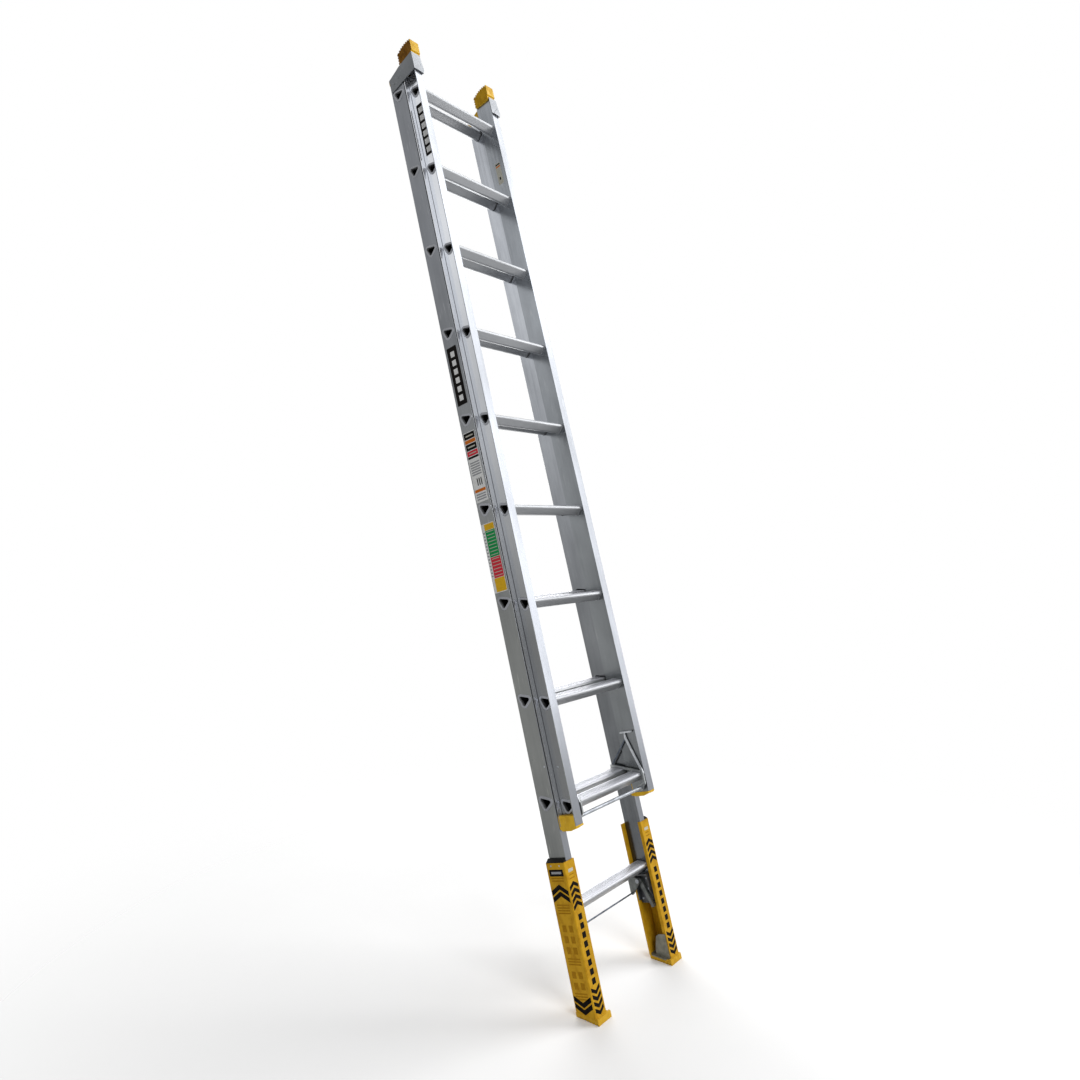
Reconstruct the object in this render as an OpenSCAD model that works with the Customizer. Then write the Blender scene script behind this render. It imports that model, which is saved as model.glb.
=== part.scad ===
// Two-section extension ladder with gravity rung locks and levelling legs.
// X runs across the ladder, Y from front (climber) to rear (wall), Z along the stiles.
// The origin is on the ground, midway between the stiles.

/* [Ladder] */
// Distance between neighbouring rungs
rung_pitch = 305; // [295:1:315]
// Height of the lowest rung above the ground
lowest_rung_z = 304.3; // [295:0.1:330]
// Outside width of the base section
base_width = 438; // [420:1:480]
// Lean at which the treads and the foot pads are level
lean = 15; // [13:0.5:16]

/* [Stiles] */
// Front to rear size of a base stile
base_depth = 64; // [60:1:70]
// Width of a base stile
base_thick = 30; // [28:1:34]
// Front to rear size of a fly stile
fly_depth = 60; // [58:1:64]
// Width of the hollow web of a fly stile
fly_web = 15; // [13:1:17]
// Gap between the base stiles and the fly stiles
section_gap = 4.7; // [4:0.1:7]
// How far the fly stiles stand inside the base stiles
fly_inset = 4.5; // [4:0.5:8]
// Wall of the stile extrusions
stile_wall = 2; // [1.8:0.1:2.6]

/* [Rungs] */
// Front to rear size of a rung
rung_w = 43; // [40:1:44]
// Height of the tread above the rung's centre line
tread_up = 14; // [12:0.5:15]
// Depth of the keel below the rung's centre line
keel_down = 18; // [16:0.5:19]
// Radius of the front and rear edges of the tread
edge_r = 7; // [5:0.5:8]
// Radius of the keel
keel_r = 9; // [7:0.5:10]
// Wall of the rung tube
rung_wall = 2; // [1.6:0.1:2.4]
// Width of the rolled rim at each end of a rung
rim_w = 2.5; // [1.5:0.1:3]
// Height of the rolled rim
rim_h = 1.8; // [1:0.1:2]
// Oversize of the holes where the rungs pass the inner walls of the base stiles
hole_slack = 3; // [2:0.1:4]

/* [Rung locks] */
// Diameter of the cross rod that joins the two locks
rod_d = 11; // [9:0.5:12]
// Thickness of the hook plates
hook_t = 6; // [5:0.5:8]
// Height of the thumb bar above the cross rod
thumb_rise = 181; // [160:1:190]
// Radial clearance of the cross rod in its bearings
rod_clear = 0.05; // [0.02:0.01:0.09]

/* [Levelling legs] */
// Width of a leg from its outer face to the base stile's centre line
leg_reach = 32; // [31:1:36]
// Wall of the leg extrusion
leg_wall = 2.7; // [2.4:0.1:2.7]
// Height of a leg's top above the lowest rung
leg_above = 138; // [120:1:150]
// Pitch of the rack teeth
rack_pitch = 10; // [9:0.5:12]
// Depth of the rack teeth
rack_tooth = 3.6; // [3:0.1:4]
// Diameter of the pawl pins
pin_d = 8; // [6:0.5:9]
// Diameter of the release rod between the two pawls
release_d = 5; // [4:0.5:6]

/* [Hidden] */
$fn = 48;

aluminium = [0.74, 0.75, 0.77];
dark_metal = [0.3, 0.31, 0.33];
yellow = [0.85, 0.65, 0.13];
black = [0.08, 0.08, 0.09];
steel = [0.62, 0.64, 0.67];

play = 0.3;
base_half = base_width / 2;
base_inner = base_half - base_thick;
base_mid = base_half - base_thick / 2;
fly_half = base_half - play;
fly_inner = base_inner - fly_inset;
fly_web_out = fly_inner + fly_web;
flange_t = 2.5;

// front to rear places, from the extreme faces of the whole ladder
plate_t = 3;
plate_gap = 0.5;
lip_bulge = 2.5;
section_step = (base_depth + fly_depth) / 2 + section_gap;
front_reach = section_step + fly_depth / 2 + plate_gap + plate_t + lip_bulge;
pawl_back = 12;
rod_back = pawl_back + 31;
eye_r = 5;
rear_reach = rod_back + eye_r;
base_y = (front_reach - rear_reach) / 2;
fly_y = base_y - section_step;
base_front = base_y - base_depth / 2;
base_rear = base_y + base_depth / 2;
fly_front = fly_y - fly_depth / 2;
fly_rear = fly_y + fly_depth / 2;

top_rung_z = lowest_rung_z + 9 * rung_pitch;
fly_drop = section_step * tan(lean);
base_bottom_z = lowest_rung_z - 112;
base_top_z = top_rung_z + 58;
lock_z = lowest_rung_z + rung_pitch - 55;
fly_bottom_z = lock_z - 16;
fly_top_z = top_rung_z + 103;
guide_lip_t = 2;
guide_lip_reach = section_gap + 3.1;
cap_up = 30;

// rung section: three corner circles, anticlockwise from the keel
rung_centres = [
    [0, keel_r - keel_down],
    [rung_w / 2 - edge_r, tread_up - edge_r],
    [edge_r - rung_w / 2, tread_up - edge_r]
];
rung_radii = [keel_r, edge_r, edge_r];
groove_count = 6;
groove_pitch = 4.2;
groove_w = 1.6;
groove_d = 0.7;
bead_w = 2;
bead_h = 1.6;

// gravity lock, measured from the cross rod
lock_y = fly_y - 11.3;
lock_rod_r = rod_d / 2;
lock_x = fly_inner - 12.5;
bar_lift = tread_up + 0.8;
bar_h = 7;
hook_r = 119.5;
hook_w = 7;
strap_w = 8;
strap_y = fly_front + 2.7;

// levelling leg
leg_out = base_mid + leg_reach;
leg_depth = base_depth + 2 * (leg_wall + play);
leg_front = base_y - leg_depth / 2;
leg_rear = base_y + leg_depth / 2;
leg_lip_in = base_inner - play - leg_wall;
leg_rear_in = base_inner - 21;
leg_top_z = lowest_rung_z + leg_above;
lip_w = 12;
pad_h = 12;
pad_front_y = leg_front - 6;
foot_plate_t = 3;

// rack and pawl; the rack runs up inside the hollow base stile, in front of the rungs
rack_in = base_inner + stile_wall + 1.5;
rack_out = rack_in + 10;
rack_front = base_front + stile_wall + play;
rack_back = rack_front + 2.6;
tooth_tip = rack_back + rack_tooth;
ledge_fall = 15;
pawl_z = lowest_rung_z - 41;
pawl_y = base_y + pawl_back;
ledge_z = base_bottom_z - 14;
rack_teeth_below = 8;
rack_teeth_above = 12;
release_y = base_y + rod_back;
release_z = pawl_z - 37;
pawl_in = base_inner - 16;
pawl_t = 9;
lever_out = base_inner - 22.5;
lever_t = 5;
housing_in = base_inner - 6;

// height of the level sole, and of the cut end of a leg above it, at a front to rear place
function sole_z(y) = (y - pad_front_y) * tan(lean);
function foot_z(y) = sole_z(y) + pad_h;

function unit(a) = [cos(a), sin(a)];
// points where straight edges meet the corner circles c with radii r, anticlockwise
function wrap_points(c, r) = [
    for (i = [0:len(c) - 1])
        let (
            j = (i + 1) % len(c),
            d = c[j] - c[i],
            a = atan2(d[1], d[0]) - acos((r[i] - r[j]) / norm(d))
        )
        for (k = [i, j]) c[k] + r[k] * unit(a)
];

// outline that wraps tightly round circles
module wrap(c, r) {
    polygon(wrap_points(c, r));
    for (i = [0:len(c) - 1])
        translate(c[i])
            circle(r[i]);
}

// rectangle with round corners
module rounded_box(x0, x1, y0, y1, r) {
    wrap([[x0 + r, y0 + r], [x1 - r, y0 + r], [x1 - r, y1 - r], [x0 + r, y1 - r]], [r, r, r, r]);
}

// a piece drawn for the right side, on the side asked for
module on_side(side) {
    mirror([side < 0 ? 1 : 0, 0, 0])
        children();
}

// a Y-Z outline extruded along X from x0 to x1
module across(x0, x1) {
    translate([x0, 0, 0])
        rotate([90, 0, 90])
            linear_extrude(x1 - x0)
                children();
}

// an X-Z outline extruded along Y from y0 to y1
module front_to_rear(y0, y1) {
    translate([0, y1, 0])
        rotate([90, 0, 0])
            linear_extrude(y1 - y0)
                children();
}

// an X-Y outline extruded along Z from z0 to z1
module upright(z0, z1) {
    translate([0, 0, z0])
        linear_extrude(z1 - z0)
            children();
}

// ---- rungs ----

module rung_outline(grow) {
    wrap(rung_centres, [for (r = rung_radii) r + grow]);
}

module tread_grooves() {
    for (i = [0:groove_count - 1])
        translate([(i - (groove_count - 1) / 2) * groove_pitch - groove_w / 2, tread_up - groove_d])
            square([groove_w, 2 * groove_d]);
}

// rung with a level tread, its tube open at both ends and rolled over the stiles
module rung(y, z, half) {
    translate([0, y, z])
        rotate([lean, 0, 0]) {
            across(-half, half)
                difference() {
                    rung_outline(0);
                    rung_outline(-rung_wall);
                    tread_grooves();
                }
            for (side = [-1, 1])
                on_side(side)
                    across(half, half + rim_h)
                        difference() {
                            rung_outline(rim_w);
                            rung_outline(-rung_wall);
                        }
        }
}

// a rung's outline, grown and set forward, as a block from x0 to x1
module rung_block(y, z, x0, x1, grow, forward) {
    translate([0, y - forward, z + forward / 3])
        rotate([lean, 0, 0])
            across(x0, x1)
                rung_outline(grow);
}

module base_rung(i) {
    color(aluminium)
        rung(base_y, lowest_rung_z + (i - 1) * rung_pitch, base_half);
}

module fly_rung(i) {
    z = lowest_rung_z + i * rung_pitch - fly_drop;
    color(aluminium) {
        rung(fly_y, z, fly_web_out);
        for (side = [-1, 1])
            on_side(side)
                difference() {
                    rung_block(fly_y, z, fly_inner - bead_w, fly_inner, bead_h, 0);
                    rung_block(fly_y, z, fly_inner - bead_w - 1, fly_inner + 1, -rung_wall / 2, 0);
                }
    }
}

// ---- base section ----

module base_stile(side) {
    color(aluminium)
        on_side(side)
            difference() {
                upright(base_bottom_z, base_top_z)
                    difference() {
                        rounded_box(base_inner, base_half, base_front, base_rear, 3);
                        rounded_box(base_inner + stile_wall, base_half - stile_wall,
                            base_front + stile_wall, base_rear - stile_wall, 1);
                    }
                for (i = [0:9]) {
                    rung_block(base_y, lowest_rung_z + i * rung_pitch,
                        base_half - 2 * stile_wall, base_half + 1, 0, 0);
                    rung_block(base_y, lowest_rung_z + i * rung_pitch,
                        base_inner - 1, base_inner + 2 * stile_wall, hole_slack, 0.8 * hole_slack);
                }
            }
}

// moulded plug that closes the top of a base stile, sloping down to the rear
module base_cap(side) {
    rear_up = 19;
    front_up = 42;
    color(yellow)
        on_side(side)
            across(base_inner, base_half)
                polygon([
                    [base_front, base_top_z], [base_rear, base_top_z],
                    [base_rear, base_top_z + rear_up - 3], [base_rear - 3, base_top_z + rear_up],
                    [base_front + 4, base_top_z + front_up], [base_front, base_top_z + front_up - 2]
                ]);
}

bracket_t = 3.5;
bracket_low = top_rung_z + 43;
bracket_high = top_rung_z + 110;
bracket_rear = base_y + 28;
plate_front = fly_front - plate_gap - plate_t;

// side plate riveted to the base stile, bent round the front of the fly stile
module guide_bracket(side) {
    color(dark_metal) {
        on_side(side)
            across(base_half, base_half + bracket_t)
                polygon([
                    [plate_front, bracket_low], [bracket_rear - 5, bracket_low - 21.5],
                    [bracket_rear, bracket_high - 36], [base_front + 2, bracket_high - 15],
                    [plate_front, bracket_high]
                ]);
        guide_plate(side);
    }
}

// front plate that holds the fly stile in, with a lead-in lip along its lower edge
module guide_plate(side) {
    half_w = base_half + bracket_t - (base_inner + base_half - fly_inset) / 2;
    mid = side * (base_inner + base_half - fly_inset) / 2;
    front_to_rear(plate_front, plate_front + plate_t)
        polygon([
            [mid - half_w, bracket_low], [mid + half_w, bracket_low - 6],
            [mid + half_w + 5, bracket_low + 12], [mid + half_w, bracket_high - 3],
            [mid + half_w - 4, bracket_high], [mid - half_w, bracket_high]
        ]);
    front_to_rear(plate_front - lip_bulge, plate_front)
        polygon([
            [mid - half_w + 8, bracket_low - 2], [mid + half_w, bracket_low - 6],
            [mid + half_w + 5, bracket_low + 12], [mid + half_w, bracket_low + 34]
        ]);
}

// domed rivet along +X
module rivet(x, y, z, r, h) {
    translate([x, y, z])
        rotate([0, 90, 0])
            rotate_extrude()
                intersection() {
                    translate([0, h - 1.6 * r])
                        circle(1.6 * r);
                    square([r, h]);
                }
}

module bracket_rivets() {
    color(steel)
        for (side = [-1, 1], k = [[-18, 60], [8, 50]])
            on_side(side)
                rivet(base_half + bracket_t, base_y + k[0], top_rung_z + k[1], 4, 1.8);
}

// ---- fly section ----

// channel with a hollow web and a lip that guides it along the inner face of the base stile
module fly_stile(side) {
    color(aluminium)
        on_side(side)
            difference() {
                upright(fly_bottom_z, fly_top_z)
                    difference() {
                        union() {
                            translate([fly_inner, fly_front])
                                square([fly_web, fly_depth]);
                            translate([fly_inner, fly_front])
                                square([fly_half - fly_inner, flange_t]);
                            translate([fly_inner, fly_rear - flange_t])
                                square([fly_half - fly_inner, flange_t]);
                            translate([fly_inner, fly_rear - 1])
                                square([guide_lip_t, guide_lip_reach + 1]);
                        }
                        translate([fly_inner + stile_wall, fly_front + flange_t])
                            square([fly_web - 2 * stile_wall, fly_depth - 2 * flange_t]);
                    }
                translate([fly_inner - 1, fly_rear, fly_bottom_z - 1])
                    cube([guide_lip_t + 2, guide_lip_reach + 1, cap_up + 5]);
                for (i = [1:9])
                    rung_block(fly_y, lowest_rung_z + i * rung_pitch - fly_drop,
                        fly_inner - 1, fly_web_out + 1, 0, 0);
                translate([fly_inner - 1, lock_y, lock_z])
                    rotate([0, 90, 0])
                        cylinder(h = fly_web / 2, r = lock_rod_r + rod_clear);
            }
}

// grip that caps a fly stile and bears on the wall, its crown serrated across
module wall_grip(side) {
    crown_r = 90;
    crown_y = fly_y - 19.5;
    notches = 7;
    notch_turn = 6.05;
    front = fly_front - 3.8;
    rear = fly_rear + 6;
    high = fly_top_z + 60;
    color(yellow)
        on_side(side)
            across(fly_inner - 8, fly_half - 0.7)
                difference() {
                    intersection() {
                        polygon([
                            [fly_front, fly_top_z], [rear, fly_top_z], [rear, high + 1],
                            [front, high + 1], [front, fly_top_z + 17], [fly_front, fly_top_z + 15]
                        ]);
                        translate([crown_y, high - crown_r])
                            circle(crown_r);
                    }
                    for (i = [0:notches - 1])
                        translate([crown_y, high - crown_r])
                            rotate(5 - i * notch_turn)
                                polygon([
                                    [-1.8, crown_r - 4], [1.8, crown_r - 4],
                                    [2.6, crown_r + 1], [-2.6, crown_r + 1]
                                ]);
                    for (i = [0:2])
                        translate([rear, fly_top_z + 8 + i * 11])
                            polygon([[-2.5, 0], [1, -1], [1, 6], [-2.5, 5]]);
                }
}

// moulded end of a fly stile: fills the channel, wraps the rear flange, closes the end
module fly_foot_cap(side) {
    low = fly_bottom_z - 13;
    high = fly_bottom_z + cap_up;
    wrap_y = fly_rear + 2.2;
    tongue_out = base_inner - 0.8;
    color(yellow)
        on_side(side) {
            translate([fly_web_out, fly_front + flange_t, low + 5])
                cube([fly_half - fly_web_out, fly_depth - 2 * flange_t, high - low - 5]);
            translate([fly_inner, fly_rear, low + 5])
                cube([fly_half - fly_inner, wrap_y - fly_rear, high - low - 5]);
            across(fly_inner - 2, fly_half)
                wrap(
                    [[fly_front + 3, fly_bottom_z - 3], [fly_front + 22, low + 6],
                        [fly_rear - 8, low + 6], [fly_rear - 0.8, fly_bottom_z - 3]],
                    [3, 6, 6, 3]
                );
            across(fly_inner - 2, tongue_out)
                wrap(
                    [[fly_rear - 10, low + 6], [base_front + 1, low + 8], [base_front + 3, fly_bottom_z - 3],
                        [fly_rear - 10, fly_bottom_z - 3]],
                    [6, 5, 3, 3]
                );
        }
}

// ---- rung locks ----

// rod that turns in both fly stiles and carries the two locks
module lock_rod() {
    reach = fly_inner + fly_web / 2 - 1.5;
    color(steel)
        translate([-reach, lock_y, lock_z])
            rotate([0, 90, 0])
                cylinder(h = 2 * reach, r = lock_rod_r);
}

// hook plate: up in front of the fly rung, over both treads, down behind the base rung
module lock_hook(side) {
    base_rung_z = lowest_rung_z + rung_pitch;
    color(dark_metal)
        on_side(side)
            across(lock_x, lock_x + hook_t)
                difference() {
                    union() {
                        translate([lock_y, lock_z])
                            circle(lock_rod_r + 4.5);
                        wrap(
                            [[lock_y, lock_z], [strap_y, lock_z + 12]],
                            [lock_rod_r + 3, strap_w / 2]
                        );
                        wrap(
                            [[strap_y, lock_z + 12], [strap_y, lock_z + 47]],
                            [strap_w / 2, strap_w / 2]
                        );
                        translate([base_y, base_rung_z])
                            rotate(lean)
                                translate([-section_step - 22, bar_lift])
                                    square([section_step + 52, bar_h]);
                        intersection() {
                            translate([lock_y, lock_z])
                                difference() {
                                    circle(hook_r + hook_w, $fn = 144);
                                    circle(hook_r, $fn = 144);
                                }
                            translate([base_y, base_rung_z - 13])
                                square([60, 48]);
                        }
                    }
                    translate([lock_y, lock_z])
                        circle(lock_rod_r);
                    translate([base_y, base_rung_z])
                        rotate(lean)
                            translate([0, bar_lift + bar_h])
                                square([120, 60]);
                }
}

// braced frame above the hook: a thumb bar, a flat front strap and a wire that rides over the rungs
module lock_frame(side) {
    wire = 2.5;
    apex_y = fly_y + 10;
    apex_z = lock_z + thumb_rise - 20;
    rear_y = base_y + 22;
    rear_z = lowest_rung_z + rung_pitch + 24;
    strap_low_z = lock_z + 44;
    color(steel)
        on_side(side) {
            across(lock_x + hook_t, lock_x + hook_t + 3)
                union() {
                    wrap(
                        [[strap_y, strap_low_z], [apex_y, apex_z]],
                        [strap_w / 2, strap_w / 2]
                    );
                    wrap(
                        [[rear_y, rear_z], [apex_y, apex_z]],
                        [wire, wire]
                    );
                    wrap(
                        [[apex_y, apex_z], [apex_y, apex_z + 19]],
                        [strap_w / 2, 2]
                    );
                    wrap(
                        [[apex_y - 28, apex_z + 20], [apex_y + 12, apex_z + 20]],
                        [3, 3]
                    );
                }
            translate([lock_x - 3, apex_y - 28, apex_z + 18])
                cube([hook_t + 4.5, 40, 4]);
        }
}

// ---- levelling legs ----

// three sided tube round the base stile, its end cut level with the ground
module leg(side) {
    color(yellow)
        on_side(side)
            difference() {
                upright(0, leg_top_z) {
                    difference() {
                        rounded_box(leg_rear_in, leg_out, leg_front, leg_rear, 4);
                        translate([leg_rear_in + leg_wall, leg_front + leg_wall])
                            square([leg_out - leg_rear_in - 2 * leg_wall, leg_depth - 2 * leg_wall]);
                        translate([leg_rear_in - 1, leg_front - 1])
                            square([leg_lip_in - leg_rear_in + 1, leg_depth - 4 - leg_wall]);
                        translate([leg_rear_in - 1, leg_front + lip_w])
                            square([
                                leg_lip_in + leg_wall + 1 - leg_rear_in, leg_depth - lip_w - 6 - leg_wall
                            ]);
                    }
                    rounded_box(leg_lip_in, leg_lip_in + leg_wall, leg_front, leg_front + lip_w, 1.2);
                }
                across(leg_rear_in - 1, leg_out + 1)
                    polygon([
                        [leg_front - 1, -1], [leg_rear + 1, -1],
                        [leg_rear + 1, foot_z(leg_rear + 1)], [leg_front - 1, foot_z(leg_front - 1)]
                    ]);
            }
}

// black liner that closes the gap beside the stile at the leg's top
module leg_liner(side) {
    liner_in = base_half + rim_h + play;
    leg_web = leg_out - leg_wall;
    color(black)
        on_side(side)
            front_to_rear(leg_front + leg_wall, leg_rear - leg_wall)
                polygon([
                    [liner_in, leg_top_z - 35], [leg_web, leg_top_z - 35], [leg_web, leg_top_z],
                    [leg_out - 1, leg_top_z], [leg_out - 1, leg_top_z + 1.5],
                    [liner_in + 2, leg_top_z + 10], [liner_in, leg_top_z + 10]
                ]);
}

// ratchet rack standing on the foot plate: ledges face up, flanks slope away below them
module rack(side) {
    high = ledge_z + rack_teeth_above * rack_pitch + 6;
    drop = rack_tooth * tan(ledge_fall);
    color(dark_metal)
        on_side(side)
            across(rack_in, rack_out) {
                polygon([
                    [rack_front, foot_z(rack_front) + foot_plate_t],
                    [rack_back, foot_z(rack_back) + foot_plate_t],
                    [rack_back, high], [rack_front, high]
                ]);
                for (i = [-rack_teeth_below:rack_teeth_above]) {
                    z = ledge_z + i * rack_pitch;
                    polygon([[rack_back - 0.5, z], [rack_back - 0.5, z - rack_pitch + 0.5],
                        [rack_back, z - rack_pitch + 0.5], [tooth_tip, z - drop], [rack_back, z]]);
                }
            }
}

// grey foot bracket: an end plate across the leg and a cheek up its inner front corner
module foot_plate(side) {
    top = foot_z(leg_rear) + foot_plate_t;
    cheek_front = leg_front + 3;
    cheek_rear = base_y + 16;
    color(dark_metal)
        on_side(side) {
            difference() {
                across(leg_rear_in + leg_wall, leg_out - leg_wall)
                    polygon([
                        [base_front, foot_z(base_front)], [base_rear, foot_z(base_rear)],
                        [base_rear, foot_z(base_rear) + foot_plate_t],
                        [base_front, foot_z(base_front) + foot_plate_t]
                    ]);
                translate([leg_rear_in, leg_front, 0])
                    cube([leg_lip_in + leg_wall - leg_rear_in, lip_w, leg_top_z]);
            }
            across(leg_lip_in - foot_plate_t, leg_lip_in)
                polygon([
                    [cheek_front, foot_z(cheek_front)], [cheek_rear, foot_z(cheek_rear)],
                    [cheek_rear, top + 8], [base_y + 3, top + 50], [base_y - 8, top + 56],
                    [cheek_front, top + 56]
                ]);
        }
}

// yellow pad under the leg, its ribbed sole level when the ladder leans
module foot_pad(side) {
    ribs = 7;
    rib_pitch = 10;
    rib_cut = 3.5;
    pad_in = leg_rear_in + 5;
    color(yellow)
        on_side(side)
            difference() {
                across(pad_in, leg_out)
                    polygon([
                        [pad_front_y, 0], [leg_rear, sole_z(leg_rear)], [leg_rear, foot_z(leg_rear)],
                        [leg_front, foot_z(leg_front)], [leg_front, foot_z(leg_front) + 5],
                        [pad_front_y, foot_z(pad_front_y) + 5]
                    ]);
                for (i = [0:ribs - 1])
                    translate([0, pad_front_y, 0])
                        rotate([lean, 0, 0])
                            across(pad_in - 5, leg_out + 5)
                                polygon([
                                    [5 + i * rib_pitch, -1], [9 + i * rib_pitch, -1],
                                    [8.2 + i * rib_pitch, rib_cut], [5.8 + i * rib_pitch, rib_cut]
                                ]);
            }
}

// ---- leveller mechanism ----

// open tray bolted to the inner face of the base stile, under the lowest rung
module leveller_housing(side) {
    front = base_y - 20;
    rear = base_y + 27;
    high = lowest_rung_z - 22;
    low = base_bottom_z - 3;
    color(dark_metal)
        on_side(side)
            difference() {
                union() {
                    across(housing_in, base_inner)
                        wrap(
                            [[front + 6, low + 6], [rear - 6, low + 6],
                                [rear - 3, high - 3], [front + 3, high - 3]],
                            [6, 6, 3, 3]
                        );
                    translate([base_inner - 20, rear - 4, low + 12])
                        cube([20, 4, high - low - 12]);
                    translate([base_inner - 20, front, high - 5])
                        cube([20, rear - front, 5]);
                    translate([base_inner - 13, front, low + 34])
                        cube([13, 3, high - low - 34]);
                }
                translate([housing_in - 1, pawl_y, pawl_z])
                    rotate([0, 90, 0])
                        cylinder(h = 8, d = pin_d);
            }
}

module housing_bolts() {
    color(steel)
        for (side = [-1, 1], k = [[-12, -38], [-12, -70], [16, -100]])
            on_side(side)
                translate([housing_in - 3, base_y + k[0], lowest_rung_z + k[1]])
                    rotate([0, 90, 0])
                        cylinder(h = 3, r = 3.6, $fn = 6);
}

// shoulder pin with a head, fixed in the housing
module pawl_pin(side) {
    head_in = lever_out - lever_t - 3;
    color(steel)
        on_side(side)
            translate([head_in, pawl_y, pawl_z])
                rotate([0, 90, 0]) {
                    cylinder(h = base_inner - head_in, d = pin_d);
                    cylinder(h = 2.6, d = pin_d + 5);
                }
}

// pawl on one hub: a strut down to a crossbar whose nose enters the rack, a lever back to the rod
module pawl(side) {
    hub_r = pin_d / 2 + 4.5;
    bar_low = ledge_z + 0.8;
    bar_high = ledge_z + 9.5;
    bar_front = leg_front + lip_w + 0.65;
    rest = 0.8;
    color(dark_metal)
        on_side(side)
            difference() {
                union() {
                    across(pawl_in, pawl_in + pawl_t)
                        wrap([[pawl_y, pawl_z], [bar_front + 4.5, bar_low + 4.5]], [hub_r, 4.5]);
                    across(pawl_in, rack_out)
                        polygon([
                            [bar_front, bar_low], [bar_front + 9, bar_low],
                            [bar_front + 9, bar_high], [bar_front, bar_high]
                        ]);
                    across(rack_in + 0.3, rack_out - 0.3)
                        polygon([
                            [rack_back + 0.6, ledge_z + rest - 0.6 * tan(ledge_fall)],
                            [bar_front + 1, ledge_z + rest - (bar_front + 1 - rack_back) * tan(ledge_fall)],
                            [bar_front + 1, bar_high],
                            [rack_back + 4.15, ledge_z + 8.9], [rack_back + 0.85, ledge_z + 1.5]
                        ]);
                    across(lever_out - lever_t, lever_out)
                        difference() {
                            wrap(
                                [[pawl_y, pawl_z], [release_y - 1, release_z], [release_y - 4, pawl_z + 6]],
                                [hub_r, eye_r + 1, 9]
                            );
                            translate([release_y, release_z])
                                circle(release_d / 2);
                        }
                    translate([lever_out - 1, pawl_y, pawl_z])
                        rotate([0, 90, 0])
                            cylinder(h = pawl_in - lever_out + 2, r = pin_d / 2 + 2);
                }
                translate([lever_out - lever_t - 1, pawl_y, pawl_z])
                    rotate([0, 90, 0])
                        cylinder(h = 40, r = pin_d / 2 + rod_clear);
            }
}

// torsion spring wound on the pawl's hub
module pawl_spring(side) {
    wire_r = 0.9;
    turns = 3;
    color(steel)
        on_side(side)
            translate([lever_out, pawl_y, pawl_z])
                rotate([0, 90, 0])
                    rotate_extrude()
                        for (i = [0:turns - 1])
                            translate([pin_d / 2 + 2 + wire_r, wire_r + i * 1.7 * wire_r])
                                circle(wire_r);
}

module release_rod() {
    color(steel)
        translate([-lever_out, release_y, release_z])
            rotate([0, 90, 0])
                cylinder(h = 2 * lever_out, d = release_d);
}

base_stile(-1);  // base_stile_left
base_stile(1);  // base_stile_right
for (i = [1:10]) base_rung(i);
base_cap(-1);  // base_cap_left
base_cap(1);  // base_cap_right
guide_bracket(-1);  // guide_bracket_left
guide_bracket(1);  // guide_bracket_right
bracket_rivets();
fly_stile(-1);  // fly_stile_left
fly_stile(1);  // fly_stile_right
for (i = [1:9]) fly_rung(i);
wall_grip(-1);  // wall_grip_left
wall_grip(1);  // wall_grip_right
fly_foot_cap(-1);  // fly_foot_cap_left
fly_foot_cap(1);  // fly_foot_cap_right
lock_rod();
lock_hook(-1);  // lock_hook_left
lock_hook(1);  // lock_hook_right
lock_frame(-1);  // lock_frame_left
lock_frame(1);  // lock_frame_right
leg(-1);  // leg_left
leg(1);  // leg_right
leg_liner(-1);  // leg_liner_left
leg_liner(1);  // leg_liner_right
rack(-1);  // rack_left
rack(1);  // rack_right
foot_plate(-1);  // foot_plate_left
foot_plate(1);  // foot_plate_right
foot_pad(-1);  // foot_pad_left
foot_pad(1);  // foot_pad_right
leveller_housing(-1);  // leveller_housing_left
leveller_housing(1);  // leveller_housing_right
housing_bolts();
pawl_pin(-1);  // pawl_pin_left
pawl_pin(1);  // pawl_pin_right
pawl(-1);  // pawl_left
pawl(1);  // pawl_right
pawl_spring(-1);  // pawl_spring_left
pawl_spring(1);  // pawl_spring_right
release_rod();
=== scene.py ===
"""Looks of an aluminium extension ladder with levelling legs. Metres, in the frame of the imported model."""

import math

import bmesh
import bpy
from mathutils import Matrix, Vector

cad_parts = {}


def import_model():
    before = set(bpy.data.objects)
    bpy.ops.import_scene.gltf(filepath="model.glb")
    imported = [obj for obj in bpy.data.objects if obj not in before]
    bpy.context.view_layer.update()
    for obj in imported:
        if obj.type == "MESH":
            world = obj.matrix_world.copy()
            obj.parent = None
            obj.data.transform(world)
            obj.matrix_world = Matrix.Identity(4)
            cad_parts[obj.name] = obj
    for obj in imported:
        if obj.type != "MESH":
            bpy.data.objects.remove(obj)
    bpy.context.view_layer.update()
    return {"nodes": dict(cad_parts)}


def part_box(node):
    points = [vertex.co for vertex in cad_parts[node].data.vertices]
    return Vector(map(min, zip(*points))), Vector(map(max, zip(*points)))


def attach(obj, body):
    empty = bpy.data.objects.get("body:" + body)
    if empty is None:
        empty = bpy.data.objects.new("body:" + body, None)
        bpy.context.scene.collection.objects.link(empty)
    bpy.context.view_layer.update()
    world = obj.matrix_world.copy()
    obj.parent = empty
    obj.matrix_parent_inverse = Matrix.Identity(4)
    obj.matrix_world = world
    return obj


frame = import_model()
nodes = frame["nodes"]

MM = 0.001
# the ladder stands upright in the model, and leans by this angle in use
LEAN = math.radians(15)
# heights in metres between which the painted shade on the aluminium, darkest at the ladder's foot, fades out
SHADE_LOW = 1.1
SHADE_HIGH = 2.4

base_low, base_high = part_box("base_stile_left")
base_mid_y = (base_low.y + base_high.y) / 2
leg_low, leg_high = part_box("leg_left")
leg_mid_y = (leg_low.y + leg_high.y) / 2
right_low, right_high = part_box("leg_right")

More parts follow.
